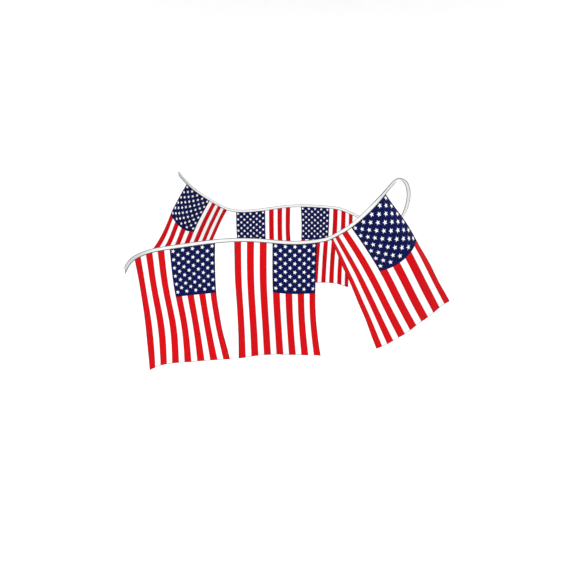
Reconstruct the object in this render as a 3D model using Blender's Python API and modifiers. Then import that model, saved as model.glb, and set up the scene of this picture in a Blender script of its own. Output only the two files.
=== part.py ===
"""Fabric bunting: six flags, each hung by its hoist edge, along one folded tape.

The tape runs along the front, climbs to a loop at the right and comes back behind, so that three
flags face forwards and three show their reverse. Metres, +Z up, +X along the front run to the
viewer's right, +Y away from the viewer. The origin is the upper side of the tape at the top of the
loop, where the bunting is held.

Each flag is one panel of cloth. Its hoist edge lies in the fold of the tape, and its yarns keep
their length as they hang, so a yarn that swings sideways or forwards ends higher up.
"""

from collections import namedtuple

import bpy
import numpy as np

MM = 0.001

# Cloth. The flags are the 12 by 18 inch size, hung by the short edge.
FLAG_WIDTH = 300 * MM
FLAG_LENGTH = 450 * MM
FLAG_THICKNESS = 1.0 * MM
TAPE_HEIGHT = 14 * MM
TAPE_LAYER = 1.0 * MM
SEAM_GAP = 0.3 * MM

# The tape is folded over the hoist edge: two walls, and a slot that is a seam gap wider each side.
SLOT_WIDTH = FLAG_THICKNESS + 2 * SEAM_GAP
WALL_OFFSET = (SLOT_WIDTH + TAPE_LAYER) / 2
HELD_LENGTH = TAPE_HEIGHT - TAPE_LAYER - SEAM_GAP
FREE_LENGTH = FLAG_LENGTH - HELD_LENGTH

# Mesh sizes: columns across a flag, rows down its free length, and the longest tape step.
FLAG_COLUMNS = 16
FLAG_ROWS = 18
TAPE_STEP = 16 * MM
ROUTE_SAMPLES = 1600

# The middle of the tape's height, from its front end to its back end, in millimetres (x, y, z).
TAPE_ROUTE = (
    # front end, which droops, and front run
    (-966, 5, -317),
    (-942, 5, -284),
    (-900, 10, -259),
    (-795, 0, -234),
    (-690, 0, -219),
    (-565, 10, -209),
    (-475, 30, -214),
    (-340, 45, -224),
    (-255, 40, -214),
    # the climb along the right-hand flag, which bellies towards the viewer
    (-220, -55, -184),
    (-175, -125, -141),
    (-115, -160, -74),
    (-40, -70, -12),
    (0, 0, -1),
    # down behind the top of the loop
    (70, 140, -39),
    (108, 280, -114),
    (118, 430, -179),
    (80, 620, -204),
    (0, 780, -194),
    # back run
    (-85, 840, -159),
    (-195, 840, -144),
    (-370, 800, -139),
    (-540, 780, -159),
    (-690, 795, -159),
    # back end, which climbs again
    (-750, 725, -124),
    (-785, 670, -94),
    (-860, 575, -19),
    (-890, 540, 26),
)

# Lengths of tape, in millimetres, at which it begins to roll over on its way up to the loop's top,
# lies flat, begins to roll back, and stands on edge again.
TAPE_ROLL = (1180, 1290, 1850, 2100)

# A section of a flag: how far each of four yarns, a third of the width apart, has moved to the
# side (+X) and out towards the viewer (-Y) from where the tape holds it, in millimetres.
Section = namedtuple("Section", "side out")

# A flag: where its first edge stands along the tape, and its sections a third of the way down,
# two thirds down and at the hem.
Flag = namedtuple("Flag", "start upper lower hem")

FLAGS = {
    "flag_front_left": Flag(
        start=59,
        upper=Section(side=(0, 0, 0, -5), out=(-30, -20, -10, 0)),
        lower=Section(side=(10, 15, 15, 10), out=(-15, -20, -10, 15)),
        hem=Section(side=(15, 20, 30, 40), out=(0, 0, 5, 25)),
    ),
    "flag_front_middle": Flag(
        start=426,
        upper=Section(side=(0, 0, 0, -5), out=(10, 30, 40, 35)),
        lower=Section(side=(5, 5, 5, 0), out=(15, 25, 25, 30)),
        hem=Section(side=(5, 10, 15, 20), out=(25, 10, 10, 30)),
    ),
    "flag_front_right": Flag(
        start=808,
        upper=Section(side=(60, 80, 85, 85), out=(20, 5, 20, 20)),
        lower=Section(side=(120, 150, 160, 165), out=(25, 5, 0, 5)),
        hem=Section(side=(175, 220, 235, 245), out=(25, -30, -55, -30)),
    ),
    "flag_back_right": Flag(
        start=2176,
        upper=Section(side=(5, 0, 0, 5), out=(-25, -15, -10, 0)),
        lower=Section(side=(0, -5, -5, 0), out=(-50, -35, -25, -20)),
        hem=Section(side=(5, -5, -10, -10), out=(-85, -55, -40, -25)),
    ),
    "flag_back_middle": Flag(
        start=2536,
        upper=Section(side=(0, 0, 0, 0), out=(0, 0, 0, -5)),
        lower=Section(side=(10, 5, 5, 5), out=(10, 0, -5, -15)),
        hem=Section(side=(15, 10, 10, 10), out=(20, 0, -10, -20)),
    ),
    "flag_back_left": Flag(
        start=2888,
        upper=Section(side=(-65, -65, -75, -80), out=(30, 30, 25, -20)),
        lower=Section(side=(-120, -130, -140, -150), out=(35, 25, 10, -35)),
        hem=Section(side=(-190, -205, -225, -240), out=(35, 20, -5, -70)),
    ),
}

FLAG_COLOUR = (0.80, 0.05, 0.06, 1.0)
TAPE_COLOUR = (0.90, 0.90, 0.88, 1.0)
CLOTH_ROUGHNESS = 0.85


def spline_bends(knots, values):
    """Second derivatives at the knots of a cubic spline with free ends."""
    count = len(knots)
    steps = np.diff(knots)
    slopes = np.diff(values, axis=0) / steps[:, None]
    matrix = np.eye(count)
    right = np.zeros_like(values)
    for i in range(1, count - 1):
        matrix[i, i - 1:i + 2] = steps[i - 1], 2 * (steps[i - 1] + steps[i]), steps[i]
        right[i] = 6 * (slopes[i] - slopes[i - 1])
    return np.linalg.solve(matrix, right)


def spline_at(knots, values, bends, places):
    """Points of the spline, and its slopes, at the given places."""
    index = np.clip(np.searchsorted(knots, places, side="right") - 1, 0, len(knots) - 2)
    step = (knots[index + 1] - knots[index])[:, None]
    after = (places - knots[index])[:, None] / step
    before = 1 - after
    first, last = values[index], values[index + 1]
    bend_first, bend_last = bends[index], bends[index + 1]
    points = before * first + after * last
    points += ((before**3 - before) * bend_first + (after**3 - after) * bend_last) * step**2 / 6
    slopes = (last - first) / step
    slopes += ((1 - 3 * before**2) * bend_first + (3 * after**2 - 1) * bend_last) * step / 6
    return points, slopes


def tape_roll(distances):
    """How far the tape has rolled over from standing on edge at each distance, in degrees."""
    begins, done, undone, ends = np.array(TAPE_ROLL) * MM
    share = np.minimum((distances - begins) / (done - begins), (ends - distances) / (ends - undone))
    share = np.clip(share, 0.0, 1.0)
    return 90 * share**2 * (3 - 2 * share)


class TapeLine:
    """The smooth line through the tape's route, measured by the length of tape."""

    def __init__(self, route):
        self.values = np.array(route, dtype=float) * MM
        chords = np.linalg.norm(np.diff(self.values, axis=0), axis=1)
        self.knots = np.concatenate(([0.0], np.cumsum(chords)))
        self.bends = spline_bends(self.knots, self.values)
        self.samples = np.linspace(0.0, self.knots[-1], ROUTE_SAMPLES)
        points, _ = spline_at(self.knots, self.values, self.bends, self.samples)
        steps = np.linalg.norm(np.diff(points, axis=0), axis=1)
        self.lengths = np.concatenate(([0.0], np.cumsum(steps)))

    def stand(self, distances):
        """How the tape stands at each distance: its middle, its face and its rise.

        The tape stands on edge wherever it holds a flag. There the face points level out of its side,
        and the rise is upright, and as long as the tape's edges are apart for each unit of its height.
        Where it has rolled over by a right angle, it lies flat and its face points down.
        """
        places = np.interp(distances, self.lengths, self.samples)
        points, slopes = spline_at(self.knots, self.values, self.bends, places)
        along = slopes / np.linalg.norm(slopes, axis=1, keepdims=True)
        level = np.linalg.norm(along[:, :2], axis=1)[:, None]
        none = np.zeros(len(along))
        side = np.column_stack((along[:, 1], -along[:, 0], none)) / level
        rise = np.column_stack((none, none, 1 / level[:, 0]))
        roll = np.radians(tape_roll(distances))[:, None]
        above = np.cross(side, along)
        face = side * np.cos(roll) - above * np.sin(roll)
        return points, face, rise * np.cos(roll) + side * np.sin(roll)


def cloth_surface(name, points):
    """An open surface through a grid of points: one row of faces for each step along the first axis."""
    columns, rows, _ = points.shape
    bpy.ops.mesh.primitive_grid_add(x_subdivisions=columns - 1, y_subdivisions=rows - 1, size=2.0)
    piece = bpy.context.object
    piece.name = name
    piece.data.name = name
    for vertex in piece.data.vertices:
        column = round((vertex.co.x + 1) / 2 * (columns - 1))
        row = round((vertex.co.y + 1) / 2 * (rows - 1))
        vertex.co = points[column, row]
    return piece


def give_thickness(piece, thickness):
    """Turns an open cloth surface into one closed sheet of the given thickness."""
    sheet = piece.modifiers.new("cloth thickness", "SOLIDIFY")
    sheet.thickness = thickness
    sheet.offset = 0.0
    sheet.use_even_offset = True


def give_material(piece, colour):
    """One matt cloth material for the piece."""
    material = bpy.data.materials.new(piece.name)
    material.use_nodes = True
    shader = material.node_tree.nodes["Principled BSDF"]
    shader.inputs["Base Color"].default_value = colour
    shader.inputs["Roughness"].default_value = CLOTH_ROUGHNESS
    shader.inputs["Metallic"].default_value = 0.0
    piece.data.materials.append(material)
    piece.data.shade_smooth()


def column_places(flag):
    """Lengths of tape at which the flag's columns hang."""
    start = flag.start * MM
    return np.linspace(start, start + FLAG_WIDTH, FLAG_COLUMNS + 1)


def tape_places(line):
    """Lengths of tape with a cross-section: both ends, every flag column, even steps between flags."""
    places = []
    reached = 0.0
    for flag in FLAGS.values():
        columns = column_places(flag)
        steps = int(np.ceil((columns[0] - reached) / TAPE_STEP))
        places.extend(np.linspace(reached, columns[0], steps, endpoint=False))
        places.extend(columns[:-1])
        reached = columns[-1]
    end = line.lengths[-1]
    steps = int(np.ceil((end - reached) / TAPE_STEP))
    places.extend(np.linspace(reached, end, steps + 1))
    return np.array(places)


def make_tape(line):
    """The tape, folded lengthwise over the hoist edges: an upside-down U all the way along."""
    middle, face, rise = line.stand(tape_places(line))
    foot = -TAPE_HEIGHT / 2
    fold = TAPE_HEIGHT / 2 - TAPE_LAYER / 2
    profile = ((-WALL_OFFSET, foot), (-WALL_OFFSET, fold), (WALL_OFFSET, fold), (WALL_OFFSET, foot))
    lines = [middle + face * across + rise * height for across, height in profile]
    piece = cloth_surface("tape", np.stack(lines, axis=1))
    give_thickness(piece, TAPE_LAYER)
    give_material(piece, TAPE_COLOUR)
    return piece


def across_weights(share):
    """Weights of the four yarns of a section for a column at this share of the width."""
    yarns = np.linspace(0.0, 1.0, 4)
    weights = []
    for yarn in yarns:
        others = yarns[yarns != yarn]
        weights.append(np.prod((share - others) / (yarn - others)))
    return np.array(weights)


def hanging_yarn(mouth, targets):
    """Points down one yarn, which hinges freely at the tape's lower edge and passes the three sections."""
    knots = np.linspace(0.0, FREE_LENGTH, 4)
    values = np.vstack((np.zeros(2), targets))
    places = np.linspace(0.0, FREE_LENGTH, FLAG_ROWS + 1)
    moves, _ = spline_at(knots, values, spline_bends(knots, values), places)
    step = FREE_LENGTH / FLAG_ROWS
    falls = np.sqrt(step**2 - np.sum(np.diff(moves, axis=0)**2, axis=1))
    drops = np.concatenate(([0.0], np.cumsum(falls)))
    return mouth + np.column_stack((moves, -drops))


def make_flag(line, name, flag):
    """One flag: a panel whose hoist edge is held in the tape and whose yarns hang below it."""
    middle, _, rise = line.stand(column_places(flag))
    mouths = middle - rise * TAPE_HEIGHT / 2
    sections = (flag.upper, flag.lower, flag.hem)
    yarns = []
    for i in range(FLAG_COLUMNS + 1):
        weights = across_weights(i / FLAG_COLUMNS)
        targets = np.array([(weights @ s.side, -(weights @ s.out)) for s in sections]) * MM
        hoist = mouths[i] + rise[i] * HELD_LENGTH
        yarns.append(np.vstack((hoist, hanging_yarn(mouths[i], targets))))
    piece = cloth_surface(name, np.array(yarns))
    give_thickness(piece, FLAG_THICKNESS)
    give_material(piece, FLAG_COLOUR)
    return piece


def main():
    """Clears the scene and builds the tape and its six flags in one collection."""
    for thing in list(bpy.data.objects):
        bpy.data.objects.remove(thing, do_unlink=True)
    line = TapeLine(TAPE_ROUTE)
    pieces = [make_tape(line)]
    pieces += [make_flag(line, name, flag) for name, flag in FLAGS.items()]
    bunting = bpy.data.collections.new("fabric bunting")
    bpy.context.scene.collection.children.link(bunting)
    for piece in pieces:
        for collection in list(piece.users_collection):
            collection.objects.unlink(piece)
        bunting.objects.link(piece)


main()
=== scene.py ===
"""Fabric flag bunting: the folded tape, its six printed flags, their seams and a pale studio."""

import math
from collections import namedtuple

import bpy
import numpy as np
from bpy.props import FloatProperty, FloatVectorProperty, PointerProperty
from bpy.types import Operator, Panel, PropertyGroup
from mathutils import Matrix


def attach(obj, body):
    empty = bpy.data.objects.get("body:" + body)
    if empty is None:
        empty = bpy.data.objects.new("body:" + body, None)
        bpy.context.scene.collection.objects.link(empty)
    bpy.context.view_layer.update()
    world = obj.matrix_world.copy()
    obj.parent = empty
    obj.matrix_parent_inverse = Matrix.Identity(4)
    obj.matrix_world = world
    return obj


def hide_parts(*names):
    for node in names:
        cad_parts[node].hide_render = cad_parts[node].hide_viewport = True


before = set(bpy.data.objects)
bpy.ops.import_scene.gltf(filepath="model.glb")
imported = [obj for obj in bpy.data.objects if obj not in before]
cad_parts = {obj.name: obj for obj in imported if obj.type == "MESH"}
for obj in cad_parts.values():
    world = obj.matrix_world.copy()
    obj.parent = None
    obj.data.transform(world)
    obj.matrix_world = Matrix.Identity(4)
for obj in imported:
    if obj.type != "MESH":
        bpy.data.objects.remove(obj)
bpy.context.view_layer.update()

bl_info = {
    "name": "Fabric flag bunting",
    "version": (1, 0, 0),
    "blender": (4, 5, 0),
    "location": "3D View > Sidebar > Bunting",
    "description": "Sews a folded tape and six printed flags onto the bunting's frame, in a pale studio",
    "category": "Add Mesh",
}

MM = 0.001
BODY = "root"
FLAT_MAP = "Flat cloth"
PRINT_MAP = "Print"

# The middle of the tape's height, from its front end to its back end, in millimetres (x, y, z).
TAPE_ROUTE = (
    # front end, which droops, and front run
    (-966, 5, -317), (-942, 5, -284), (-900, 10, -259), (-795, 0, -234), (-690, 0, -219),
    (-565, 10, -209), (-475, 30, -214), (-340, 45, -224), (-255, 40, -214),
    # the climb along the right-hand flag, which bellies towards the viewer
    (-220, -55, -184), (-175, -125, -141), (-115, -160, -74), (-40, -70, -12), (0, 0, -1),
    # down behind the top of the loop
    (70, 140, -39), (108, 280, -114), (118, 430, -179), (80, 620, -204), (0, 780, -194),
    # back run
    (-85, 840, -159), (-195, 840, -144), (-370, 800, -139), (-540, 780, -159), (-690, 795, -159),
    # back end, which climbs again
    (-750, 725, -124), (-785, 670, -94), (-860, 575, -19), (-890, 540, 26),
)
ROUTE_SAMPLES = 3200

# Lengths of tape, in millimetres, at which it begins to roll over on its way up to the loop's top,
# lies flat, begins to roll back, and stands on edge again.
TAPE_ROLL = (1180, 1290, 1850, 2100)

# A section of a flag: how far each of four yarns, a third of the width apart, has moved to the
# side (+X) and out towards the viewer (-Y) from where the tape holds it, in millimetres.
Section = namedtuple("Section", "side out")

# A soft crease in the cloth: its middle on the flat cloth, how far it leans from upright in
# degrees, its length, its width, and how deep it is (a ridge where that is above nought), in millimetres.
Crease = namedtuple("Crease", "across down lean length width depth")

# A flag: where its first edge stands along the tape, its sections a third of the way down, two
# thirds down and at the hem, how far the canton's lower edge has slipped down the cloth at its four
# yarns, a third of the canton apart, in millimetres, and its creases.
Flag = namedtuple("Flag", "start upper lower hem slip creases")

FLAGS = {
    "flag_front_left": Flag(
        start=59,
        upper=Section(side=(0, 0, 0, -5), out=(-30, -20, -10, 0)),
        lower=Section(side=(10, 15, 15, 10), out=(-15, -20, -10, 15)),
        hem=Section(side=(15, 20, 30, 40), out=(0, 0, 5, 25)),
        slip=(4, 3, 3, 2),
        creases=(
            Crease(62, 140, 6, 230, 16, 1.6),
            Crease(118, 330, -8, 260, 20, -2.2),
            Crease(205, 120, 4, 180, 15, -1.4),
            Crease(238, 350, -10, 240, 18, 2.0),
            Crease(30, 400, -14, 110, 10, -1.6),
        ),
    ),
    "flag_front_middle": Flag(
        start=426,
        upper=Section(side=(0, 0, 0, -5), out=(10, 30, 40, 35)),
        lower=Section(side=(5, 5, 5, 0), out=(15, 25, 25, 30)),
        hem=Section(side=(5, 10, 15, 20), out=(25, 10, 10, 30)),
        slip=(1, 3, 5, 7),
        creases=(
            Crease(48, 180, -4, 260, 17, -1.6),
            Crease(128, 120, 7, 190, 15, 1.5),
            Crease(170, 370, -5, 230, 20, 2.2),
            Crease(250, 230, 3, 300, 18, -1.8),
            Crease(96, 410, 9, 120, 12, -1.5),
        ),
    ),
    "flag_front_right": Flag(
        start=808,
        upper=Section(side=(60, 80, 85, 85), out=(20, 5, 20, 20)),
        lower=Section(side=(120, 150, 160, 165), out=(25, 5, 0, 5)),
        hem=Section(side=(175, 220, 235, 245), out=(25, -30, -55, -30)),
        slip=(-10, 2, 4, -2),
        creases=(
            Crease(40, 130, -12, 200, 14, -1.7),
            Crease(110, 220, -6, 300, 20, 2.0),
            Crease(196, 330, -4, 260, 19, -2.4),
            Crease(262, 170, -8, 240, 14, 1.5),
            Crease(236, 410, 6, 110, 12, 1.6),
        ),
    ),
    "flag_back_right": Flag(
        start=2176,
        upper=Section(side=(5, 0, 0, 5), out=(-25, -15, -10, 0)),
        lower=Section(side=(0, -5, -5, 0), out=(-50, -35, -25, -20)),
        hem=Section(side=(5, -5, -10, -10), out=(-85, -55, -40, -25)),
        slip=(0, 0, 0, 0),
        creases=(
            Crease(70, 200, 5, 280, 18, 1.8),
            Crease(150, 330, -7, 250, 19, -2.2),
            Crease(222, 150, 4, 220, 15, 1.5),
            Crease(268, 350, -9, 180, 13, -1.6),
        ),
    ),
    "flag_back_middle": Flag(
        start=2536,
        upper=Section(side=(0, 0, 0, 0), out=(0, 0, 0, -5)),
        lower=Section(side=(10, 5, 5, 5), out=(10, 0, -5, -15)),
        hem=Section(side=(15, 10, 10, 10), out=(20, 0, -10, -20)),
        slip=(0, 0, 0, 0),
        creases=(
            Crease(55, 320, -6, 250, 18, -2.0),
            Crease(120, 160, 4, 230, 16, 1.7),
            Crease(205, 280, 8, 300, 20, 2.1),
            Crease(255, 130, -3, 170, 14, -1.4),
        ),
    ),
    "flag_back_left": Flag(
        start=2888,
        upper=Section(side=(-65, -65, -75, -80), out=(30, 30, 25, -20)),
        lower=Section(side=(-120, -130, -140, -150), out=(35, 25, 10, -35)),
        hem=Section(side=(-190, -205, -225, -240), out=(35, 20, -5, -70)),
        slip=(-3, 12, 5, -5),
        creases=(
            Crease(45, 150, 8, 220, 15, 1.6),
            Crease(126, 300, 11, 280, 19, -2.2),
            Crease(190, 140, 6, 200, 15, -1.5),
            Crease(250, 330, 13, 220, 16, 2.0),
        ),
    ),
}

# The seed of the first flag's small folds. Each next flag has the next number.
FIRST_SEED = 11

# The puckers under the seam: how near they come to the two edges, their spacing, half width, height
# and reach down the cloth, in millimetres.
PUCKER_MARGINS = (4.0, 3.0)
PUCKER_SPACING = (8.0, 17.0)
PUCKER_WIDTH = (2.6, 4.4)
PUCKER_HEIGHT = (0.35, 0.95)
PUCKER_REACH = (14.0, 46.0)

# Where the creases, puckers and waves begin below the tape's lower edge, and where they are whole, in
# millimetres.
FOLDS_BEGIN = (-0.5, 9.0)

# The waves along a side edge and along the hem: the least and most of them, their height and their
# reach into the cloth, in millimetres.
SIDE_WAVES = ((2.2, 3.4), 1.1, 26)
HEM_WAVES = ((3.0, 4.5), 0.9, 34)

# Mesh lines near an edge, as shares of the hem's width, and inside the tape, as shares of what it holds.
EDGE_LINES = (0.0, 0.10, 0.30, 0.55, 0.80, 0.93, 1.02, 1.12)
HELD_LINES = (0.0, 0.25, 0.5, 0.75, 0.95, 1.1)

# Half of the folded tape's profile: height above the lower edge and how far it stands from the wall's
# line, in millimetres, and its share of that line. The fold closes it, and it is set at every step.
TAPE_PROFILE = (
    (0.0, 0.22, 1.0), (1.3, 0.10, 1.0), (3.0, 0.0, 1.0), (4.6, 0.12, 1.0), (6.6, 0.30, 1.0),
    (8.8, 0.42, 1.0), (10.8, 0.46, 1.0), (12.2, 0.36, 1.0), (13.1, 0.12, 0.85), (13.6, 0.0, 0.45),
)
TAPE_FOLD = (13.7, 0.0, 0.0)
TAPE_STEP = 4 * MM

# How far from a flag's edge the tape's walls begin to come together, and where they have met.
WALLS_CLOSE = (1 * MM, 7 * MM)

# How much of a hem's thickness lies on the printed side of the cloth's middle surface, and where its
# second layer ends, between two mesh lines.
PRINTED_SHARE = 0.3
HEM_LAYERS_END = 0.97

# A stitch's height for its width.
STITCH_FLATNESS = 0.8

# The round of the cloth's edges, and the angles from which an edge is rounded and shaded sharp.
ROUNDED_EDGE = 0.12 * MM
BEVEL_ANGLE = 60.0
CUT_EDGE_ANGLE = 45.0

# The print, measured on the flat cloth from its first edge and from its hoist edge.
STRIPES = 13
CANTON_STRIPES = 7
CANTON_BOTTOM = 188.7 * MM
STAR_ROWS = 11
STAR_COLUMNS = 9
STAR_ROW_PITCH = 15.2 * MM
STAR_COLUMN_PITCH = 17.6 * MM
FIRST_STAR_ROW = 20.7 * MM
STAR_INNER_SHARE = 0.42
PRINT_SOFTNESS = 0.4 * MM
INK_RIM = 2.6 * MM
INK_SPREAD = 1.2 * MM

# The cloth's plain weave, the tape's herringbone twill, and how far from an end of the tape its
# painted shade is whole and where it is gone.
WEAVE_PITCH = 0.7 * MM
TWILL_PITCH = 0.9 * MM
TWILL_TURN = 3.5 * MM
END_SHADE_WHOLE = 66 * MM
END_SHADE_GONE = 176 * MM

# The studio: the radius of the floor's curve and its steps, in metres, and the soft lights with their
# names, places, turns in degrees and sizes.
FLOOR_CURVE = 2.0
FLOOR_STEPS = 10
LIGHTS = (
    ("key_light", (-2.6, -3.6, 2.2), (66, 0, -33), 2.6),
    ("back_light", (2.2, 4.2, 2.0), (66, 0, 150), 2.6),
    ("top_light", (-0.4, 0.4, 3.6), (0, 0, 0), 6.0),
)

# The camera: a wide lens, tilted down.
CAMERA_PLACE = (-0.380, -1.400, -0.007)
CAMERA_TILT = 75.0
CAMERA_LENS = 25.0


# ---- sizes and colours that a user may change

def distance(name, description, default, low, high):
    """A distance that a user may change, with its default and its limits in millimetres."""
    return FloatProperty(
        name=name, description=description, default=default * MM, min=low * MM, max=high * MM,
        subtype="DISTANCE", unit="LENGTH",
    )


def strength(name, description, default, high):
    """A light's strength or power."""
    return FloatProperty(name=name, description=description, default=default, min=0.0, max=high)


def tone(name, description, *default):
    """A colour or shade of three numbers that a user may change."""
    return FloatVectorProperty(
        name=name, description=description, default=default, size=3, min=0.0, max=1.0, subtype="COLOR",
    )


class TapeSizes(PropertyGroup):
    """Sizes and colours of the folded tape."""

    height: distance("Folded height", "Height of the tape once folded in two", 14, 5, 50)
    layer: distance("Layer", "Thickness of one layer of the tape", 0.6, 0.2, 2)
    wall: distance("Wall", "From the fold's middle to the middle of a wall, over a flag", 0.95, 0.3, 3)
    bare_wall: distance("Bare wall", "The same, where the tape holds no flag", 0.42, 0.3, 3)
    seam: distance("Seam", "Height of the stitches above the tape's lower edge", 3, 1, 10)
    # The grey edge lines are painted shade along the tape's edges, its fold and its ends.
    tape_edge_shade: distance("Painted edge shade", "Width of the grey line along the tape's edges", 2.5, 0, 4)
    colour: tone("Tape", "Colour of the tape's white yarn", 0.79, 0.80, 0.79)
    tape_edge_shade_colour: tone("Selvedge colour", "Colour of the tape's grey edge lines", 0.07, 0.07, 0.08)


class FlagSizes(PropertyGroup):
    """Sizes of one flag's cloth."""

    width: distance("Width", "Width of the flag along the tape", 300, 100, 1000)
    length: distance("Length", "Length of the flag from its hoist edge to its hem", 450, 100, 1000)
    held: distance("Held", "How much of the length is inside the tape", 12.7, 2, 40)
    cloth: distance("Cloth", "Thickness of one layer of the cloth", 0.4, 0.1, 1)
    hem: distance("Hem", "Thickness of the folded hem", 0.9, 0.1, 3)
    hem_width: distance("Hem width", "Width of the folded hem", 10, 3, 30)
    hem_seam: distance("Hem seam", "From the cloth's edge to the hem's stitches", 8, 2, 28)
    mesh_step: distance("Mesh step", "Size of one face of the cloth's mesh", 3, 2, 20)


class PrintColours(PropertyGroup):
    """Colours of the print and the size of its stars."""

    red: tone("Red", "Colour of the red stripes", 0.57, 0.002, 0.005)
    white: tone("White", "Colour of the white cloth", 0.88, 0.88, 0.88)
    blue: tone("Blue", "Colour of the canton", 0.002, 0.005, 0.061)
    # The darker red and blue of the reverse are painted shade for the back flags, which are lit less.
    reverse: FloatProperty(
        name="Reverse", description="How bright the red and blue are on the reverse",
        default=0.86, min=0.0, max=1.0, subtype="FACTOR",
    )
    rim: tone("Ink rim", "Shade of the ink where it gathers at a printed shape's rim", 0.38, 0.38, 0.38)
    # The dark line along the cloth's edges is painted shade, multiplied over the print.
    edge: tone("Edge shade", "Shade of the darkened edge over the print", 0.22, 0.22, 0.23)
    edge_width: distance("Edge width", "Width of the darkened edge", 1.9, 0, 10)
    star_radius: distance("Star", "From a star's middle to its points", 7.9, 1, 20)


class ThreadSizes(PropertyGroup):
    """Sizes and colour of the sewing thread."""

    pitch: distance("Pitch", "From one stitch to the next", 3.2, 1, 10)
    length: distance("Length", "How much of one stitch shows", 2.5, 0.5, 9)
    thickness: distance("Thickness", "Thickness of the thread", 0.45, 0.1, 2)
    colour: tone("Thread", "Colour of the thread", 0.80, 0.80, 0.79)


class StudioSizes(PropertyGroup):
    """The studio round the bunting."""

    floor_drop: distance("Floor", "How far the floor lies below the loop's top", 1900, 800, 5000)
    floor_radius: distance("Floor radius", "From its middle to where it curves up", 5000, 3000, 20000)
    wall_height: distance("Wall", "Height of the wall above the floor's curve", 4000, 1000, 20000)
    sky: strength("Sky", "Strength of the even light from all round", 0.92, 5.0)
    key: strength("Key light", "Power of the large soft light in front, in watts", 70.0, 1000.0)
    back: strength("Back light", "Power of the large soft light behind, in watts", 40.0, 1000.0)
    top: strength("Top light", "Power of the light that whitens the floor, in watts", 160.0, 2000.0)


# ---- the shape in which the bunting hangs

def unit(vectors):
    """The same directions, each one long."""
    return vectors / np.linalg.norm(vectors, axis=-1, keepdims=True)


def spline_bends(knots, values):
    """Second derivatives at the knots of a cubic spline with free ends."""
    count = len(knots)
    steps = np.diff(knots)
    slopes = np.diff(values, axis=0) / steps[:, None]
    matrix = np.eye(count)
    right = np.zeros_like(values)
    for i in range(1, count - 1):
        matrix[i, i - 1:i + 2] = steps[i - 1], 2 * (steps[i - 1] + steps[i]), steps[i]
        right[i] = 6 * (slopes[i] - slopes[i - 1])
    return np.linalg.solve(matrix, right)


def spline_at(knots, values, bends, places):
    """Points of the spline, and its slopes, at the given places."""
    index = np.clip(np.searchsorted(knots, places, side="right") - 1, 0, len(knots) - 2)
    step = (knots[index + 1] - knots[index])[:, None]
    after = (places - knots[index])[:, None] / step
    before = 1 - after
    first, last = values[index], values[index + 1]
    bend_first, bend_last = bends[index], bends[index + 1]
    points = before * first + after * last
    points += ((before**3 - before) * bend_first + (after**3 - after) * bend_last) * step**2 / 6
    slopes = (last - first) / step
    slopes += ((1 - 3 * before**2) * bend_first + (3 * after**2 - 1) * bend_last) * step / 6
    return points, slopes


def tape_roll(distances):
    """How far the tape has rolled over from standing on edge at each distance, in degrees."""
    begins, done, undone, ends = np.array(TAPE_ROLL) * MM
    share = np.minimum((distances - begins) / (done - begins), (ends - distances) / (ends - undone))
    return 90 * smooth_step(share, 0.0, 1.0)


class TapeLine:
    """The smooth line through the tape's route, measured by the length of tape."""

    def __init__(self, route):
        self.values = np.array(route, dtype=float) * MM
        chords = np.linalg.norm(np.diff(self.values, axis=0), axis=1)
        self.knots = np.concatenate(([0.0], np.cumsum(chords)))
        self.bends = spline_bends(self.knots, self.values)
        self.samples = np.linspace(0.0, self.knots[-1], ROUTE_SAMPLES)
        points, _ = spline_at(self.knots, self.values, self.bends, self.samples)
        steps = np.linalg.norm(np.diff(points, axis=0), axis=1)
        self.lengths = np.concatenate(([0.0], np.cumsum(steps)))

    def stand(self, distances):
        """The tape's middle, its face and its rise: on edge over a flag, flat where it has rolled over."""
        places = np.interp(distances, self.lengths, self.samples)
        points, slopes = spline_at(self.knots, self.values, self.bends, places)
        along = unit(slopes)
        level = np.linalg.norm(along[:, :2], axis=1)[:, None]
        none = np.zeros(len(along))
        side = np.column_stack((along[:, 1], -along[:, 0], none)) / level
        rise = np.column_stack((none, none, 1 / level[:, 0]))
        roll = np.radians(tape_roll(distances))[:, None]
        above = np.cross(side, along)
        face = side * np.cos(roll) - above * np.sin(roll)
        return points, face, rise * np.cos(roll) + side * np.sin(roll)


LINE = TapeLine(TAPE_ROUTE)


def smooth_step(values, low, high):
    """Nought below low, one above high, and a smooth change between them."""
    share = np.clip((values - low) / (high - low), 0.0, 1.0)
    return share * share * (3 - 2 * share)


def across_weights(shares):
    """Weights of a section's four yarns for columns at these shares of the width, a row for each."""
    yarns = np.linspace(0.0, 1.0, 4)
    columns = []
    for yarn in yarns:
        others = yarns[yarns != yarn]
        columns.append(np.prod([(shares - other) / (yarn - other) for other in others], axis=0))
    return np.stack(columns, axis=1)


def grid_places(length, step, edges_first, edges_last):
    """Mesh lines over a cloth's width or length: close together at its edges, even between them."""
    first, last = edges_first[-1], length - edges_last[-1]
    count = int(math.ceil((last - first) / step))
    middle = np.linspace(first, last, count + 1)
    return np.concatenate((edges_first[:-1], middle, length - np.array(edges_last[-2::-1])))


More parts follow.
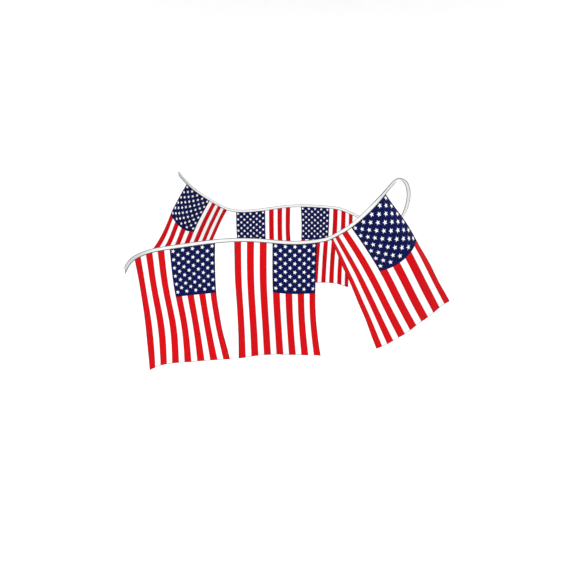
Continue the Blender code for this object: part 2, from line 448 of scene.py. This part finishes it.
class Cloth:
    """One flag's cloth: the place and the outward normal of each point of a fine flat grid."""

    def __init__(self, name, flag, sizes):
        edges = sizes.hem_width * np.array(EDGE_LINES)
        held = sizes.held * np.array(HELD_LINES)
        self.width, self.length = sizes.width, sizes.length
        self.across = grid_places(sizes.width, sizes.mesh_step, edges, edges)
        self.down = grid_places(sizes.length, sizes.mesh_step, held, edges)
        self.points = self.hang(flag, sizes)
        self.normals = self.find_normals()
        height = self.small_folds(name, flag, sizes)
        self.points = self.points + self.normals * height[:, :, None]
        self.normals = self.find_normals()

    def hang(self, flag, sizes):
        """The cloth's middle surface: straight inside the tape, then yarns that keep their length."""
        middle, _, rise = LINE.stand(flag.start * MM + self.across)
        mouths = middle - rise * bpy.context.scene.bunting_tape.height / 2
        weights = across_weights(self.across / sizes.width)
        targets = []
        for section in (flag.upper, flag.lower, flag.hem):
            targets.append(np.column_stack((weights @ section.side, -(weights @ section.out))) * MM)
        free = sizes.length - sizes.held
        values = np.stack([np.zeros_like(targets[0])] + targets).reshape(4, -1)
        knots = np.linspace(0.0, free, 4)
        below = self.down[self.down > sizes.held] - sizes.held
        places = np.concatenate(([0.0], below))
        moves, _ = spline_at(knots, values, spline_bends(knots, values), places)
        moves = moves.reshape(len(places), len(self.across), 2)
        steps = np.diff(places)[:, None]
        falls = np.sqrt(steps**2 - np.sum(np.diff(moves, axis=0)**2, axis=2))
        drops = np.vstack((np.zeros(len(self.across)), np.cumsum(falls, axis=0)))
        free_part = np.concatenate((moves, -drops[:, :, None]), axis=2)[1:] + mouths
        inside = sizes.held - self.down[self.down <= sizes.held]
        held_part = mouths + inside[:, None, None] * rise
        return np.concatenate((held_part, free_part)).transpose(1, 0, 2)

    def find_normals(self):
        """Normals of the cloth's printed side."""
        across = np.gradient(self.points, self.across, axis=0)
        down = np.gradient(self.points, self.down, axis=1)
        return unit(np.cross(down, across))

    def small_folds(self, name, flag, sizes):
        """How far the cloth stands out at each point: its creases, puckers and hems."""
        across, down = np.meshgrid(self.across / MM, self.down / MM, indexing="ij")
        width, length, held = sizes.width / MM, sizes.length / MM, sizes.held / MM
        height = np.zeros_like(across)
        for crease in flag.creases:
            lean = math.radians(crease.lean)
            side, fall = across - crease.across, down - crease.down
            over = side * math.cos(lean) + fall * math.sin(lean)
            along = np.abs(fall * math.cos(lean) - side * math.sin(lean)) / (crease.length / 2)
            fade = 1 - smooth_step(along, 0.2, 1.0)
            height += crease.depth * np.exp(-(over / crease.width)**2) * fade
        chance = np.random.default_rng(list(FLAGS).index(name) + FIRST_SEED)
        place, margin = PUCKER_MARGINS
        while place < width - margin:
            pucker = chance.uniform(*PUCKER_WIDTH)
            tall = chance.uniform(*PUCKER_HEIGHT)
            reach = chance.uniform(*PUCKER_REACH)
            fade = np.exp(-((down - held) / reach)**2 / 2)
            height += tall * np.exp(-((across - place) / pucker)**2) * fade
            place += chance.uniform(*PUCKER_SPACING)
        waves = (
            (across, down / length, SIDE_WAVES), (width - across, down / length, SIDE_WAVES),
            (length - down, across / width, HEM_WAVES),
        )
        for edge, share, (count, tall, reach) in waves:
            turns = chance.uniform(*count)
            wave = np.sin(2 * math.pi * (turns * share + chance.uniform(0.0, 1.0)))
            height += tall * wave * np.exp(-(edge / reach)**2)
        return height * smooth_step(down - held, *FOLDS_BEGIN) * MM

    def at(self, across, down):
        """Points and normals of the cloth at places on the flat cloth."""
        found = []
        column = np.interp(across, self.across, np.arange(len(self.across)))
        row = np.interp(down, self.down, np.arange(len(self.down)))
        i = np.minimum(column.astype(int), len(self.across) - 2)
        j = np.minimum(row.astype(int), len(self.down) - 2)
        a, b = (column - i)[:, None], (row - j)[:, None]
        for grid in (self.points, self.normals):
            near = grid[i, j] * (1 - a) + grid[i + 1, j] * a
            far = grid[i, j + 1] * (1 - a) + grid[i + 1, j + 1] * a
            found.append(near * (1 - b) + far * b)
        return found

    def grid(self, flag):
        """Points, their flat places and their places on the print, with the rows from the hem upwards."""
        flat = np.stack(np.meshgrid(self.across, self.down, indexing="ij"), axis=2)
        left = self.width * (STRIPES - CANTON_STRIPES) / STRIPES
        share = np.clip((self.across - left) / (self.width - left), 0.0, 1.0)
        slip = across_weights(share) @ np.array(flag.slip) * MM
        printed = flat.copy()
        printed[:, :, 1] -= slip[:, None] * np.clip(self.down / CANTON_BOTTOM, 0.0, 1.0)
        return self.points[:, ::-1], flat[:, ::-1], printed[:, ::-1]


# ---- modelling

def deselect_all():
    """Nothing is selected, so that an operator acts on the new piece alone."""
    bpy.ops.object.select_all(action="DESELECT")


def select_only(piece):
    """The piece is selected and active, and nothing else is."""
    deselect_all()
    piece.select_set(True)
    bpy.context.view_layer.objects.active = piece


def new_piece(name):
    """The object that an operator has just added, under its name."""
    piece = bpy.context.object
    piece.name = piece.data.name = name
    return piece


def vertex_places(mesh):
    """The places of a mesh's vertices, a row for each."""
    places = np.empty(len(mesh.vertices) * 3)
    mesh.vertices.foreach_get("co", places)
    return places.reshape(-1, 3)


def add_maps(mesh, maps):
    """A UV map for each title, from a flat place for each vertex."""
    corners = np.empty(len(mesh.loops), dtype=int)
    mesh.loops.foreach_get("vertex_index", corners)
    for title, flat in maps.items():
        mesh.uv_layers.new(name=title).uv.foreach_set("vector", flat[corners].ravel())


def cloth_surface(name, points, **maps):
    """An open surface through a grid of points, with a UV map for each grid of flat places."""
    columns, rows, _ = points.shape
    deselect_all()
    bpy.ops.mesh.primitive_grid_add(x_subdivisions=columns - 1, y_subdivisions=rows - 1, size=2.0)
    piece = new_piece(name)
    mesh = piece.data
    places = vertex_places(mesh)
    column = np.rint((places[:, 0] + 1) / 2 * (columns - 1)).astype(int)
    row = np.rint((places[:, 1] + 1) / 2 * (rows - 1)).astype(int)
    mesh.vertices.foreach_set("co", points[column, row].ravel())
    mesh.uv_layers.remove(mesh.uv_layers[0])
    add_maps(mesh, {title: flat[column, row] for title, flat in maps.items()})
    mesh.update()
    return piece, column, row


def apply_modifiers(piece):
    """Applies the piece's modifiers in their order."""
    select_only(piece)
    for modifier in list(piece.modifiers):
        bpy.ops.object.modifier_apply(modifier=modifier.name)


def make_up(piece, slot, node, *materials):
    """A thickened cloth takes its materials and modifiers, smooth faces and its place on the frame."""
    for material in materials:
        piece.data.materials.append(material)
    apply_modifiers(piece)
    bpy.ops.object.shade_smooth_by_angle(angle=math.radians(CUT_EDGE_ANGLE))
    finish_piece(piece, slot, node)


def thicken(piece, thickness, offset, reverse_slot=0):
    """Turns an open cloth surface into a closed sheet with slightly rounded edges."""
    sheet = piece.modifiers.new("cloth thickness", "SOLIDIFY")
    sheet.thickness = thickness
    sheet.offset = offset
    sheet.use_even_offset = True
    sheet.use_quality_normals = True
    sheet.material_offset = reverse_slot
    if piece.vertex_groups:
        sheet.vertex_group = piece.vertex_groups[0].name
    rounded = piece.modifiers.new("rounded edges", "BEVEL")
    rounded.width = ROUNDED_EDGE
    rounded.segments = 2
    rounded.limit_method = "ANGLE"
    rounded.angle_limit = math.radians(BEVEL_ANGLE)
    return sheet


def sew(name, points, ahead, out, material, flat=None):
    """A run of stitches: one short rounded thread, copied to each place and turned along the seam.

    Where the places on the flat cloth are given, each stitch has them as its UV maps.
    """
    thread = bpy.context.scene.bunting_thread
    deselect_all()
    bpy.ops.mesh.primitive_uv_sphere_add(segments=6, ring_count=4, radius=0.5, rotation=(0, math.pi / 2, 0))
    piece = new_piece(name)
    thickness = thread.thickness
    bpy.ops.transform.resize(value=(thread.length, thickness, thickness * STITCH_FLATNESS))
    bpy.ops.object.transform_apply(location=True, rotation=True, scale=True)
    copies = piece.modifiers.new("stitches", "ARRAY")
    copies.count = len(points)
    copies.use_relative_offset = False
    copies.use_constant_offset = True
    copies.constant_offset_displace = (thread.pitch, 0, 0)
    apply_modifiers(piece)
    mesh = piece.data
    places = vertex_places(mesh)
    stitch = np.rint(places[:, 0] / thread.pitch).astype(int)
    along = places[:, 0] - stitch * thread.pitch
    ahead = unit(ahead - out * np.sum(ahead * out, axis=1, keepdims=True))
    aside = np.cross(out, ahead)
    turned = ahead[stitch] * along[:, None] + aside[stitch] * places[:, 1:2] + out[stitch] * places[:, 2:3]
    mesh.vertices.foreach_set("co", (points[stitch] + turned).ravel())
    if flat is not None:
        add_maps(mesh, {FLAT_MAP: flat[stitch], PRINT_MAP: flat[stitch]})
    mesh.update()
    mesh.materials.clear()
    mesh.materials.append(material)
    mesh.shade_smooth()
    return piece


# ---- materials

def arithmetic(operation, swapped=False):
    """A method that adds a Math node for one sign in an expression."""
    def method(self, *others):
        terms = (*others, self) if swapped else (self, *others)
        return self.recipe.maths(operation, *terms)
    return method


class Value:
    """A number that changes over a surface. An expression on it adds Math nodes."""

    def __init__(self, recipe, socket):
        self.recipe = recipe
        self.socket = socket

    __add__ = arithmetic("ADD")
    __radd__ = arithmetic("ADD", swapped=True)
    __sub__ = arithmetic("SUBTRACT")
    __rsub__ = arithmetic("SUBTRACT", swapped=True)
    __mul__ = arithmetic("MULTIPLY")
    __rmul__ = arithmetic("MULTIPLY", swapped=True)
    __truediv__ = arithmetic("DIVIDE")
    __mod__ = arithmetic("FLOORED_MODULO")
    __abs__ = arithmetic("ABSOLUTE")


class Recipe:
    """One material and its nodes."""

    def __init__(self, name, roughness, sheen):
        self.material = bpy.data.materials.new(name)
        self.material.use_nodes = True
        self.tree = self.material.node_tree
        self.shader = self.tree.nodes["Principled BSDF"]
        self.feed(self.shader, {"Roughness": roughness, "Specular IOR Level": 0.05})
        self.feed(self.shader, {"Sheen Weight": sheen, "Sheen Roughness": 0.5})

    def feed(self, node, sockets):
        """Links values to a node's sockets, or sets the sockets' own numbers and colours."""
        for name, value in sockets.items():
            if isinstance(value, Value):
                self.tree.links.new(value.socket, node.inputs[name])
            else:
                node.inputs[name].default_value = value

    def node(self, kind, settings, sockets, output=0):
        """An output of a new node of this type, whose settings are made first and its sockets then fed."""
        made = self.tree.nodes.new(kind)
        for name, value in settings.items():
            setattr(made, name, value)
        self.feed(made, sockets)
        return Value(self, made.outputs[output])

    def maths(self, operation, *terms):
        """The result of a Math node on numbers or values."""
        return self.node("ShaderNodeMath", {"operation": operation}, dict(enumerate(terms)))

    def clamp(self, value):
        """The value, kept between nought and one."""
        return self.node("ShaderNodeClamp", {}, {"Value": value, "Min": 0.0, "Max": 1.0})

    def least(self, *values):
        """The least of several values."""
        found = values[0]
        for value in values[1:]:
            found = self.maths("MINIMUM", found, value)
        return found

    def mix(self, factor, first, second, blend="MIX"):
        """A colour between two colours."""
        settings = {"data_type": "RGBA", "blend_type": blend}
        return self.node("ShaderNodeMix", settings, {0: factor, 6: opaque(first), 7: opaque(second)}, 2)

    def tint(self, colour, factor, shade):
        """The colour, multiplied by a shade as far as the factor says."""
        return self.mix(factor, colour, shade, blend="MULTIPLY")

    def flat_place(self, title=FLAT_MAP):
        """The place on the flat cloth or its print: across and down, in metres, and both as one vector."""
        place = self.node("ShaderNodeUVMap", {"uv_map": title}, {})
        across = self.node("ShaderNodeSeparateXYZ", {}, {0: place})
        return across, Value(self, across.socket.node.outputs[1]), place

    def noise(self, place, stretch, detail):
        """Soft noise between nought and one, stretched to so many features in a metre each way."""
        mapped = self.node("ShaderNodeMapping", {}, {"Vector": place, "Scale": (*stretch, 1.0)})
        sockets = {"Vector": mapped, "Scale": 1.0, "Detail": detail}
        return self.node("ShaderNodeTexNoise", {"noise_dimensions": "2D"}, sockets)

    def grain(self, scale, detail):
        """Soft noise between nought and one, from the place on the piece."""
        place = self.node("ShaderNodeTexCoord", {}, {}, "Object")
        return self.node("ShaderNodeTexNoise", {}, {"Vector": place, "Scale": scale, "Detail": detail})

    def bump(self, height, share=1.0):
        """Normals from a height in millimetres."""
        sockets = {"Strength": share, "Distance": MM, "Height": height}
        self.feed(self.shader, {"Normal": self.node("ShaderNodeBump", {}, sockets)})

    def paint(self, colour, roughness):
        """Feeds the shader's colour and roughness."""
        self.feed(self.shader, {"Base Color": colour, "Roughness": roughness})


def opaque(colour):
    """A colour of three numbers with a fourth, or a colour from another node as it is."""
    return colour if isinstance(colour, Value) else (*colour, 1.0)


def soft_edge(recipe, inside, softness=PRINT_SOFTNESS):
    """One where a distance is inside, nought where it is outside, with a soft printed edge."""
    return recipe.clamp(inside / softness + 0.5)


def ink_rim(recipe, inside):
    """One at the rim of a printed shape, where the ink gathers and is darker, and nought further in."""
    return recipe.clamp(1.0 - inside / INK_RIM)


def red_stripes(recipe, across, width):
    """Where the print is red, and its rim: every second stripe, the first and last among them."""
    stripe = width / STRIPES
    inside = (0.5 - abs((across / stripe + 0.5) % 2.0 - 1.0)) * stripe + INK_SPREAD
    return soft_edge(recipe, inside), ink_rim(recipe, inside)


def star_grid(recipe, across, down, radius):
    """Five-pointed stars on every second column and row of a grid, measured from its first star."""
    def from_nearest(place, pitch):
        return (place + pitch) % (2 * pitch) - pitch
    side = from_nearest(across, STAR_COLUMN_PITCH)
    fall = from_nearest(down, STAR_ROW_PITCH)
    away = recipe.maths("SQRT", side * side + fall * fall)
    fifth = 2 * math.pi / 5
    turns = recipe.maths("ARCTAN2", fall, side) / fifth
    angle = abs(turns - recipe.maths("ROUND", turns)) * fifth
    x = away * recipe.maths("COSINE", angle)
    y = away * recipe.maths("SINE", angle)
    # the straight edge from a point of the star to the notch beside it
    notch_x = radius * STAR_INNER_SHARE * math.cos(fifth / 2)
    notch_y = radius * STAR_INNER_SHARE * math.sin(fifth / 2)
    slant = math.hypot(notch_y, radius - notch_x)
    beyond = (x - radius) * (notch_y / slant) + y * ((radius - notch_x) / slant)
    return soft_edge(recipe, 0.0 - beyond)


def canton_and_stars(recipe, across, down, width, radius):
    """Where the canton is, its rim, and where its stars are."""
    left = width * (STRIPES - CANTON_STRIPES) / STRIPES
    inside = recipe.least(across - left, width - across, CANTON_BOTTOM - down) + INK_SPREAD
    canton = soft_edge(recipe, inside)
    columns = (STAR_COLUMNS - 1) * STAR_COLUMN_PITCH
    rows = (STAR_ROWS - 1) * STAR_ROW_PITCH
    side, fall = across - (left + (width - left - columns) / 2), down - FIRST_STAR_ROW
    even = star_grid(recipe, side, fall, radius)
    odd = star_grid(recipe, side - STAR_COLUMN_PITCH, fall - STAR_ROW_PITCH, radius)
    between = recipe.least(side, columns - side, fall, rows - fall)
    stars = recipe.maths("MAXIMUM", even, odd * soft_edge(recipe, between)) * canton
    return canton, ink_rim(recipe, inside), stars


def plain_weave(recipe, across, down):
    """The height of a plain weave: yarns that pass over and under each other."""
    turn = math.pi / WEAVE_PITCH
    return recipe.maths("SINE", across * turn) * recipe.maths("SINE", down * turn)


def printed_cloth(recipe, on_shaded_reverse):
    """The print's colour, where it is inked, and how far each point is from the cloth's edge."""
    sizes, colours = bpy.context.scene.bunting_flag, bpy.context.scene.bunting_print
    across, down, _ = recipe.flat_place()
    _, print_down, _ = recipe.flat_place(PRINT_MAP)
    red, red_rim = red_stripes(recipe, across, sizes.width)
    radius = colours.star_radius
    canton, blue_rim, stars = canton_and_stars(recipe, across, print_down, sizes.width, radius)
    # painted shade: the reverse's red and blue are darker
    share = colours.reverse if on_shaded_reverse else 1.0
    red_ink = recipe.tint(colours.red * share, red_rim, colours.rim)
    blue_ink = recipe.tint(colours.blue * share, blue_rim, colours.rim)
    cloth = recipe.mix(red, colours.white, red_ink)
    cloth = recipe.mix(canton, cloth, blue_ink)
    cloth = recipe.mix(stars, cloth, colours.white)
    edge = recipe.least(across, sizes.width - across, sizes.length - down)
    return cloth, recipe.clamp(red + canton - stars), edge


def flag_material(name, on_shaded_reverse):
    """Printed polyester: stripes, canton and stars, with the weave, slubs, hems and small wrinkles."""
    sizes, colours = bpy.context.scene.bunting_flag, bpy.context.scene.bunting_print
    recipe = Recipe(name, roughness=0.8, sheen=0.03)
    across, down, place = recipe.flat_place()
    cloth, inked, edge = printed_cloth(recipe, on_shaded_reverse)
    # painted shade: a dark line along the cloth's edges, over the print; and the hems
    edge_shade = soft_edge(recipe, colours.edge_width - edge, 0.6 * MM)
    cloth = recipe.tint(cloth, edge_shade, colours.edge)
    hem = soft_edge(recipe, sizes.hem_width - edge, 0.8 * MM)
    # yarns that took the ink unevenly, and a broad unevenness of the cloth
    warp = recipe.noise(place, (900.0, 14.0), 1.0)
    weft = recipe.noise(place, (14.0, 900.0), 1.0)
    broad = recipe.noise(place, (9.0, 7.0), 3.0)
    uneven = recipe.clamp(0.25 * (warp + weft) + 0.5 * broad)
    cloth = recipe.tint(cloth, uneven, (0.90, 0.90, 0.91))
    cloth = recipe.tint(cloth, hem * 0.35, (0.90, 0.90, 0.92))
    recipe.paint(cloth, 0.84 - inked * 0.06 + broad * 0.06)
    weave = plain_weave(recipe, across, down)
    wrinkles = recipe.noise(place, (38.0, 26.0), 2.0)
    seam = abs(edge - sizes.hem_seam) / (0.6 * MM)
    groove = recipe.clamp(1.0 - seam) * 0.15
    recipe.bump(weave * 0.03 + wrinkles * 0.35 + (warp + weft) * 0.03 - groove, 0.8)
    return recipe.material


def tape_material():
    """White twill tape with painted shade: grey lines along its edges, fold and ends, and darker ends; and
    the dip of its seam.
    """
    sizes = bpy.context.scene.bunting_tape
    recipe = Recipe("white tape", roughness=0.85, sheen=0.05)
    along, across, place = recipe.flat_place()
    fold = abs(across - sizes.height)
    edge = sizes.height - fold
    end = recipe.least(along, float(LINE.lengths[-1]) - along)
    # painted shade: a grey line along the tape's edges, its fold and its ends
    near = recipe.least(edge, fold + 0.4 * MM, end)
    line = soft_edge(recipe, sizes.tape_edge_shade - near, 0.5 * MM)
    yarns = recipe.noise(place, (60.0, 1500.0), 1.0)
    broad = recipe.noise(place, (25.0, 60.0), 3.0)
    cloth = recipe.mix(line, sizes.colour, sizes.tape_edge_shade_colour)
    cloth = recipe.tint(cloth, recipe.clamp(0.4 * yarns + 0.6 * broad), (0.88, 0.88, 0.89))
    # painted shade: the tape is darker towards each of its ends
    end_shade = recipe.clamp((END_SHADE_GONE - end) / (END_SHADE_GONE - END_SHADE_WHOLE))
    cloth = recipe.tint(cloth, end_shade, (0.66, 0.68, 0.69))
    recipe.paint(cloth, 0.86 + broad * 0.08)
    # a herringbone twill: slanting yarns that turn back every few millimetres
    slant = along + abs(across % TWILL_TURN - TWILL_TURN / 2)
    twill = recipe.maths("SINE", slant * (2 * math.pi / TWILL_PITCH))
    seam = abs(edge - sizes.seam) / (0.7 * MM)
    groove = recipe.clamp(1.0 - seam) * 0.2
    recipe.bump(twill * 0.05 + yarns * 0.05 + broad * 0.1 - groove, 0.9)
    return recipe.material


def thread_material(name, over_print=False):
    """Twisted sewing thread, which has taken the print's ink where it was sewn before printing."""
    colour = bpy.context.scene.bunting_thread.colour
    recipe = Recipe(name, roughness=0.6, sheen=0.05)
    if over_print:
        printed, _, _ = printed_cloth(recipe, False)
        colour = recipe.mix(0.08, printed, colour)
    fibres = recipe.grain(2600.0, 1.0)
    recipe.paint(recipe.tint(colour, fibres, (0.80, 0.80, 0.80)), 0.55 + fibres * 0.2)
    recipe.bump(fibres * 0.04)
    return recipe.material


def studio_material():
    """Plain pale paper for the floor and its curved wall."""
    recipe = Recipe("pale paper", roughness=0.9, sheen=0.0)
    cloud = recipe.grain(3.0, 2.0)
    recipe.paint(recipe.mix(cloud, (0.90, 0.90, 0.90), (0.92, 0.92, 0.92)), 0.88 + cloud * 0.04)
    return recipe.material


# ---- operators

def finish_piece(piece, slot, *nodes):
    """A finished piece rides on the body and stands for its CAD nodes."""
    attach(piece, BODY)
    if nodes:
        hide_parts(*nodes)


class BUNTING_OT_fold_tape(Operator):
    """Folds the white tape along its whole length and sews it through"""

    bl_idname = "bunting.fold_tape"
    bl_label = "Fold and sew the tape"

    def execute(self, context):
        sizes = context.scene.bunting_tape
        total = LINE.lengths[-1]
        places = np.linspace(0.0, total, int(total / TAPE_STEP) + 1)
        middle, face, rise = LINE.stand(places)
        wall = self.wall_offsets(context, places)
        other_half = [(height, -extra, -share) for height, extra, share in reversed(TAPE_PROFILE)]
        lines = []
        for height, extra, share in (*TAPE_PROFILE, TAPE_FOLD, *other_half):
            offset = wall * share + extra * MM
            lines.append(middle + face * offset[:, None] + rise * (height * MM - sizes.height / 2))
        points = np.stack(lines, axis=1)
        spans = np.linalg.norm(np.diff(points, axis=1), axis=2).mean(axis=0)
        down = np.concatenate(([0.0], np.cumsum(spans)))
        down *= 2 * sizes.height / down[-1]
        flat = np.stack(np.meshgrid(places, down, indexing="ij"), axis=2)
        piece, _, _ = cloth_surface("folded_tape", points, **{FLAT_MAP: flat})
        thicken(piece, sizes.layer, 0.0)
        make_up(piece, "tape", "tape", tape_material())
        seam = self.sew_seam(context, total)
        return {"FINISHED"}

    @staticmethod
    def wall_offsets(context, places):
        """How far a wall stands from the fold's middle: wider where the tape holds a flag."""
        sizes, width = context.scene.bunting_tape, context.scene.bunting_flag.width
        over = np.zeros_like(places)
        for flag in FLAGS.values():
            beyond = np.abs(places - flag.start * MM - width / 2) - width / 2
            over = np.maximum(over, 1 - smooth_step(beyond, *WALLS_CLOSE))
        return sizes.bare_wall + (sizes.wall - sizes.bare_wall) * over

    def sew_seam(self, context, total):
        """The line of stitches on both sides of the tape."""
        sizes, thread = context.scene.bunting_tape, context.scene.bunting_thread
        places = np.arange(2 * MM, total - 2 * MM, thread.pitch)
        middle, face, rise = LINE.stand(places)
        ahead = np.gradient(middle, axis=0)
        out = (self.wall_offsets(context, places) + sizes.layer / 2)[:, None]
        height = rise * (sizes.seam - sizes.height / 2)
        points = np.vstack((middle + face * out + height, middle - face * out + height))
        seam = sew(
            "tape_stitches", points, np.vstack((ahead, -ahead)), np.vstack((face, -face)),
            thread_material("sewing thread"),
        )
        finish_piece(seam, "tape")
        return seam


class BUNTING_OT_hang_flags(Operator):
    """Hangs the six printed flags from the tape and stitches their hems"""

    bl_idname = "bunting.hang_flags"
    bl_label = "Hang the flags"

    def execute(self, context):
        sizes = context.scene.bunting_flag
        front = flag_material("printed cloth", False)
        # the reverse's darker ink is painted shade
        reverse = flag_material("printed cloth reverse", True)
        thread = thread_material("printed thread", over_print=True)
        for node, flag in FLAGS.items():
            cloth = Cloth(node, flag, sizes)
            piece = self.cut_cloth(node.replace("flag", "cloth"), cloth, flag, sizes)
            make_up(piece, "flag", node, front, reverse)
            seam = self.stitch_hem(context, node.replace("flag", "hem"), cloth, thread)
        return {"FINISHED"}

    @staticmethod
    def cut_cloth(name, cloth, flag, sizes):
        """The cloth with two layers at its hems and one layer between them."""
        points, flat, printed = cloth.grid(flag)
        piece, column, row = cloth_surface(name, points, **{FLAT_MAP: flat, PRINT_MAP: printed})
        across, down = flat[column, row].T
        edge = np.minimum.reduce((across, sizes.width - across, sizes.length - down))
        layers = piece.vertex_groups.new(name="hem layers")
        doubled = np.flatnonzero(edge < sizes.hem_width * HEM_LAYERS_END)
        layers.add(doubled.tolist(), 1.0, "REPLACE")
        sheet = thicken(piece, sizes.hem, 2 * PRINTED_SHARE - 1, reverse_slot=1)
        sheet.thickness_vertex_group = sizes.cloth / sizes.hem
        return piece

    @staticmethod
    def stitch_hem(context, name, cloth, material):
        """Stitches down both side hems and along the lower hem, on both faces of the cloth."""
        sizes, thread = context.scene.bunting_flag, context.scene.bunting_thread
        inset = sizes.hem_seam
        low, high = inset, sizes.width - inset
        top, bottom = sizes.held + 3 * MM, sizes.length - inset
        downwards = np.arange(top, bottom, thread.pitch)
        sideways = np.arange(low + thread.pitch / 2, high, thread.pitch)
        across = np.concatenate((np.full_like(downwards, low), sideways, np.full_like(downwards, high)))
        down = np.concatenate((downwards, np.full_like(sideways, bottom), downwards))
        fall = np.where(np.isin(across, (low, high)), MM, 0.0)
        side = MM - fall
        points, out = cloth.at(across, down)
        before, _ = cloth.at(across - side, down - fall)
        after, _ = cloth.at(across + side, down + fall)
        ahead = after - before
        out = unit(out)
        front = points + out * (PRINTED_SHARE * sizes.hem)
        back = points - out * ((1 - PRINTED_SHARE) * sizes.hem)
        flat = np.column_stack((across, down))
        seam = sew(
            name, np.vstack((front, back)), np.vstack((ahead, ahead)), np.vstack((out, -out)), material,
            np.vstack((flat, flat)),
        )
        finish_piece(seam, "flag")
        return seam


class BUNTING_OT_light_studio(Operator):
    """Lays the pale floor with its curved wall, and sets the soft lights and the camera"""

    bl_idname = "bunting.light_studio"
    bl_label = "Set up the studio"

    def execute(self, context):
        self.lay_floor(context.scene.bunting_studio)
        self.hang_lights(context)
        self.place_camera(context)
        context.scene.view_settings.view_transform = "Standard"
        return {"FINISHED"}

    @staticmethod
    def lay_floor(studio):
        """A round floor whose edge curves up all round, so that every side has the same background."""
        deselect_all()
        bpy.ops.mesh.primitive_circle_add(
            vertices=96, radius=studio.floor_radius, fill_type="NGON", location=(0, 0, -studio.floor_drop)
        )
        floor = new_piece("studio_floor")
        bpy.ops.object.transform_apply(location=True, rotation=True, scale=True)
        bpy.ops.object.mode_set(mode="EDIT")
        bpy.ops.mesh.select_mode(type="EDGE")
        bpy.ops.mesh.select_all(action="SELECT")
        bpy.ops.mesh.region_to_loop()
        turns = np.linspace(0.0, math.pi / 2, FLOOR_STEPS + 1)
        reaches = studio.floor_radius + FLOOR_CURVE * np.sin(turns)
        heights = -FLOOR_CURVE * np.cos(turns)
        for wider, higher in zip(reaches[1:] / reaches[:-1], np.diff(heights)):
            bpy.ops.mesh.extrude_region_move(TRANSFORM_OT_translate={"value": (0, 0, higher)})
            bpy.ops.transform.resize(value=(wider, wider, 1), center_override=(0, 0, 0))
        bpy.ops.mesh.extrude_region_move(TRANSFORM_OT_translate={"value": (0, 0, studio.wall_height)})
        bpy.ops.object.mode_set(mode="OBJECT")
        floor.data.shade_smooth()
        floor.data.materials.append(studio_material())

    @staticmethod
    def hang_lights(context):
        """Even light from all round, with one large soft light in front, one behind and one above."""
        studio = context.scene.bunting_studio
        world = bpy.data.worlds.new("even light")
        context.scene.world = world
        world.use_nodes = True
        background = world.node_tree.nodes["Background"]
        background.inputs["Color"].default_value = (1.0, 1.0, 1.0, 1.0)
        background.inputs["Strength"].default_value = studio.sky
        powers = (studio.key, studio.back, studio.top)
        for (name, place, turn, size), power in zip(LIGHTS, powers):
            deselect_all()
            bpy.ops.object.light_add(
                type="AREA", location=place, rotation=tuple(math.radians(part) for part in turn)
            )
            light = new_piece(name)
            light.data.shape = "SQUARE"
            light.data.size = size
            light.data.energy = power
            light.visible_camera = False

    @staticmethod
    def place_camera(context):
        """The camera in front, level with the top of the loop and tilted down."""
        deselect_all()
        bpy.ops.object.camera_add(location=CAMERA_PLACE, rotation=(math.radians(CAMERA_TILT), 0, 0))
        camera = new_piece("front_camera")
        camera.data.lens = CAMERA_LENS
        context.scene.camera = camera


class BUNTING_PT_sidebar(Panel):
    """The bunting's sizes, colours and steps"""

    bl_idname = "BUNTING_PT_sidebar"
    bl_label = "Fabric flag bunting"
    bl_space_type = "VIEW_3D"
    bl_region_type = "UI"
    bl_category = "Bunting"

    def draw(self, context):
        for title, group, _, operator in PANEL_PARTS:
            box = self.layout.box()
            box.label(text=title)
            settings = getattr(context.scene, group)
            for name in settings.__annotations__:
                box.prop(settings, name)
            if operator:
                box.operator(operator)


PANEL_PARTS = (
    ("Tape", "bunting_tape", TapeSizes, "bunting.fold_tape"),
    ("Flags", "bunting_flag", FlagSizes, "bunting.hang_flags"),
    ("Print", "bunting_print", PrintColours, None),
    ("Thread", "bunting_thread", ThreadSizes, None),
    ("Studio", "bunting_studio", StudioSizes, "bunting.light_studio"),
)
GROUPS = {name: kind for _, name, kind, _ in PANEL_PARTS}
CLASSES = (
    *GROUPS.values(),
    BUNTING_OT_fold_tape,
    BUNTING_OT_hang_flags,
    BUNTING_OT_light_studio,
    BUNTING_PT_sidebar,
)


def register():
    for kind in CLASSES:
        bpy.utils.register_class(kind)
    for name, kind in GROUPS.items():
        setattr(bpy.types.Scene, name, PointerProperty(type=kind))


def unregister():
    for name in GROUPS:
        delattr(bpy.types.Scene, name)
    for kind in reversed(CLASSES):
        bpy.utils.unregister_class(kind)


def main():
    """Registers the add-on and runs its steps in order."""
    register()
    bpy.ops.bunting.light_studio()
    bpy.ops.bunting.fold_tape()
    bpy.ops.bunting.hang_flags()


if __name__ == "__main__":
    main()
